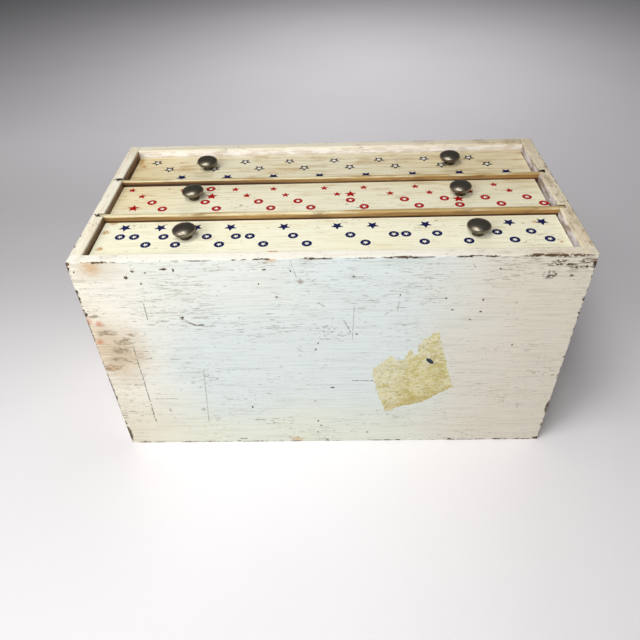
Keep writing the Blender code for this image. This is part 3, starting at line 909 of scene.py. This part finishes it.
def framed(shape, outer, inner, low, high, place):
    """A closed flat ring between two outlines with the same number of points."""
    corners = ((outer, low), (outer, high), (inner, high), (inner, low))
    loops = [[shape.verts.new(place(u, v, level)) for u, v in outline] for outline, level in corners]
    for one, two in zip(loops, loops[1:] + loops[:1]):
        for step in range(len(outer)):
            after = (step + 1) % len(outer)
            shape.faces.new((one[step], one[after], two[after], two[step]))


def finer(outline, steps):
    """The same outline with each side cut into steps."""
    corners = [Vector(corner) for corner in outline]
    return [tuple(corner.lerp(after, step / steps))
            for corner, after in zip(corners, corners[1:] + corners[:1]) for step in range(steps)]


def ring_round(outline, radius):
    """The circle's points that lie straight out from each point of a star outline."""
    return [spoke(radius, math.atan2(v, u)) for u, v in outline]


# Rows of decals on each front, as (across, up) offsets in millimetres from the front's middle.
# Each drawer's sheet was printed as slanting runs of the same few shapes.
TOP_START = -160.8
TOP_PITCH = 41.4
MIDDLE_RUNS = (-169.8, -124.7, -79.6, -46.6, -2.8, 42.0, 75.1, 108.8, 142.0)
BOTTOM_STARS = (-161.3, -132.9, -104.5, -77.2, -35.1, 6.6, 34.2, 75.4, 112.5, 140.2, 165.6)
BOTTOM_UPPER_RINGS = (-162.1, -150.9, -127.9, -94.1, -71.5, -60.7, -27.4, 16.6, 49.8, 59.2, 82.8, 128.3,
                      154.0)
BOTTOM_LOWER_RINGS = (-139.5, -116.7, -83.1, -49.5, -16.5, 27.7, 71.9, 105.1, 139.2, 165.3)
SHEET_HALF = 176             # nothing is printed farther out than this
BOW_HALF = 165               # how far out the rows' rise is measured


def top_drawer_marks():
    marks = []
    for run in range(8):
        across = TOP_START + TOP_PITCH * run
        marks += [("outline", across, 12.2), ("outline", across + 14.1, -1.2),
                  ("solid", across + 28.2, -16.8)]
    return marks


def middle_drawer_marks():
    marks = []
    for start in MIDDLE_RUNS:
        first = -11.0 if start == 42.0 else 0.0
        late = 1.0 if start == 142.0 else 0.0
        marks += [("small", start + first, 17.2), ("small", start + 10.9, 6.4),
                  ("ring", start + 21.9 + late, -3.9 - late), ("ring", start + 32.9 + late, -14.6 - late)]
    marks += [("ring", -101.1, 18.3), ("large", -161.4, -13.2), ("large", -98.6, 5.6),
              ("large", 19.4, 6.3), ("large", 108.4, -5.4)]
    return [mark for mark in marks if abs(mark[1]) < SHEET_HALF]


def bottom_drawer_marks():
    marks = [("large", across, 15.6) for across in BOTTOM_STARS]
    marks += [("ring", across, 2.6) for across in BOTTOM_UPPER_RINGS]
    marks += [("ring", across, -8.4) for across in BOTTOM_LOWER_RINGS]
    return marks


def sheet_bow(across):
    """The printed rows rise a little towards the ends, more on the left."""
    share = across / BOW_HALF
    return 1.6 * share * share - 0.9 * share


def add_decals(drawer, marks, points_up, ink, white, outline_ink=None):
    """All of one drawer's decals: a white ground and the coloured print over it."""
    low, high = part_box(f"{drawer}_front")
    middle = Vector(((low.x + high.x) / 2, (low.y + high.y) / 2, high.z))
    ground = bmesh.new()
    print_ink = bmesh.new()
    print_dark = bmesh.new()
    for kind, across, up in marks:
        up += sheet_bow(across)

        def place(u, v, w, across=across, up=up):
            return middle + Vector((across * MM + u, up * MM + v, w))

        star = star_outline(kind, points_up)
        if kind == "outline":
            prism(ground, star, 0.0, BACKING, place)
            framed(print_dark, star, star_outline("hollow", points_up), BACKING, INK, place)
        elif kind == "ring":
            star = finer(star, 4)
            prism(ground, circle_outline(RING_GROUND), 0.0, BACKING, place)
            framed(print_ink, ring_round(star, RING), star, BACKING, INK, place)
        else:
            prism(print_ink, star, 0.0, INK, place)
    for part, shape, material in (("ground", ground, white), ("print", print_ink, ink),
                                  ("outlines", print_dark, outline_ink)):
        if shape.faces:
            name = f"{drawer}_decal_{part}"
            add_piece(name, finish_mesh(name, shape), (material,), drawer)
        else:
            shape.free()


# ---- Torn label on the bottom board ----
LABEL_OUTLINE = (
    (81, 136), (86, 136.5), (87.5, 128), (91, 115), (94, 105), (96, 97), (98, 90), (101, 80), (103, 73),
    (95, 67), (88, 62), (80, 55), (68, 50), (60, 49.5), (53, 44), (47, 40.5), (45, 50), (43, 54), (41, 62),
    (38, 72), (36, 82), (34, 90), (35, 97), (38, 100), (44, 106), (47, 111), (51, 110), (53, 105.5),
    (60, 106.5), (62, 113), (64.5, 118), (66, 116), (67.5, 110.5), (70, 113), (70, 121), (74, 129),
    (78, 132),
)


# The dark oval left on the label, in millimetres.
SPOT_MIDDLE = Vector((81, 104.6))
SPOT_HALF = Vector((4.3, 1.9))
SPOT_STEPS = 26


def ragged_loop(points, step, amount, seed):
    """A closed outline walked in small steps and torn in and out by noise."""
    loop = []
    for index, point in enumerate(points):
        start = Vector(point)
        run = Vector(points[(index + 1) % len(points)]) - start
        inward = Vector((run.y, -run.x)).normalized()
        count = max(1, round(run.length / step))
        for part in range(count):
            spot = start + run * (part / count)
            tear = noise.fractal(Vector((spot.x * 0.45, spot.y * 0.45, seed)), 1.0, 2.0, 3)
            loop.append(tuple((spot + inward * tear * amount) * MM))
    return loop


def add_label(paper, spot_ink):
    face = -HALF_HEIGHT + SKIN

    def place(u, v, w):
        return Vector((u, face - w, v))

    def add(name, outline, low, high, material):
        shape = bmesh.new()
        prism(shape, outline, low * MM, high * MM, place)
        add_piece(name, finish_mesh(name, shape), (material,), "case")

    add("label_residue", ragged_loop(LABEL_OUTLINE, 1.2, 1.3, 2.0), 0.0, 0.05, paper)
    oval = []
    tilt = Matrix.Rotation(math.radians(-46), 2)
    for step in range(SPOT_STEPS):
        spot = Vector(spoke(1.0, math.tau * step / SPOT_STEPS)) * SPOT_HALF
        wobble = 1 + 0.1 * noise.noise((*spot, 5.0))
        oval.append((SPOT_MIDDLE + tilt @ spot * wobble) * MM)
    add("label_spot", oval, 0.05, 0.08, spot_ink)


# ---- Stage ----
def add_stage(material):
    shape = bmesh.new()
    bmesh.ops.create_grid(shape, x_segments=24, y_segments=24, size=4.0)
    bmesh.ops.translate(shape, vec=(0.0, 1.5, 0.0), verts=shape.verts)
    floor = put("floor", finish_mesh("floor", shape))
    floor.data.materials.append(material)


def add_light(name, place, aim, size, power, colour, glossy=True):
    light = bpy.data.lights.new(name, "AREA")
    light.shape = "DISK"
    light.size = size
    light.energy = power
    light.color = colour
    lamp = put(name, light)
    lamp.visible_glossy = glossy
    lamp.location = place
    lamp.rotation_euler = (Vector(aim) - Vector(place)).to_track_quat("-Z", "Y").to_euler()


def add_lights():
    add_light("soft_front", (-0.60, -1.00, 0.80), (0.0, 0.0, 0.10), 0.9, 8.8, (0.98, 0.99, 1.0))
    add_light("soft_left", (-0.90, -0.60, 0.90), (0.0, 0.0, 0.10), 0.7, 3.2, (1.0, 0.97, 0.93))
    add_light("near_fill", (0.0, -0.50, 0.55), (0.0, -0.05, 0.12), 0.2, 0.95, (1.0, 1.0, 0.98))
    add_light("top_key", (-0.28, -0.32, 1.20), (0.0, 0.05, 0.10), 0.4, 4.7, (1.0, 0.99, 0.97))
    add_light("back_wash", (0.10, 1.00, 0.80), (0.10, 0.95, 0.0), 0.5, 3.8, (0.98, 0.97, 1.0), False)
    world = bpy.data.worlds.new("studio")
    world.use_nodes = True
    background = world.node_tree.nodes["Background"]
    background.inputs["Color"].default_value = (0.98, 0.96, 1.0, 1.0)
    background.inputs["Strength"].default_value = 0.13
    world.cycles_visibility.diffuse = False
    bpy.context.scene.world = world


def add_camera():
    camera = bpy.data.cameras.new("camera")
    camera.sensor_width = 36.0
    camera.lens = 33.44
    camera.clip_start = 0.01
    camera.clip_end = 50.0
    holder = put("camera", camera)
    holder.location = (0.0033, -0.4427, 0.4539)
    holder.rotation_euler = Euler([math.radians(angle) for angle in (48.939, 1.564, 0.539)], "XYZ")
    bpy.context.scene.camera = holder


def main():
    paint_x = make_case_paint("case_paint_long", "X", 0.0)
    paint_y = make_case_paint("case_paint_short", "Y", 60.0)
    add_case(paint_x, paint_y, make_bottom_face())
    front = make_front_paint()
    side_wood = make_bare_wood("drawer_wood", "Z", (216, 180, 128), (168, 124, 74), 70.0)
    back_wood = make_bare_wood("drawer_back_wood", "X", (212, 176, 124), (160, 118, 70), 75.0)
    plywood = make_bare_wood("plywood", "X", (190, 152, 104), (142, 104, 64), 80.0)
    screw = make_screw_metal()
    for drawer in DRAWERS:
        rounded(f"{drawer}_front", front, drawer, 0.6 * MM, 3)
        for side in ("left", "right"):
            rounded(f"{drawer}_{side}_side", side_wood, drawer, 0.4 * MM)
            repaint(f"{drawer}_screw_{side}", screw)
        rounded(f"{drawer}_back", back_wood, drawer, 0.4 * MM)
        rounded(f"{drawer}_bottom", plywood, drawer, 0.2 * MM)
    rounded("case_back_panel", plywood, "case", 0.2 * MM)
    divider = make_divider()
    rounded("divider_lower", divider, "case", 0.5 * MM)
    rounded("divider_upper", divider, "case", 0.5 * MM)
    add_knobs(make_knob_metal())
    white = make_ink("decal_white", (250, 246, 234), (240, 230, 208))
    navy = make_ink("decal_navy", (12, 22, 78), (22, 32, 88))
    red = make_ink("decal_red", (174, 14, 12), (172, 28, 26))
    slate = make_ink("decal_slate", (26, 28, 38), (48, 48, 54))
    add_decals("top_drawer", top_drawer_marks(), False, navy, white, slate)
    add_decals("middle_drawer", middle_drawer_marks(), True, red, white)
    add_decals("bottom_drawer", bottom_drawer_marks(), False, navy, white)
    add_label(make_label_paper(), make_ink("label_ink", (44, 54, 66), (70, 80, 90)))
    add_stage(make_floor())
    add_lights()
    add_camera()
    bpy.context.scene.view_settings.view_transform = "Standard"


main()
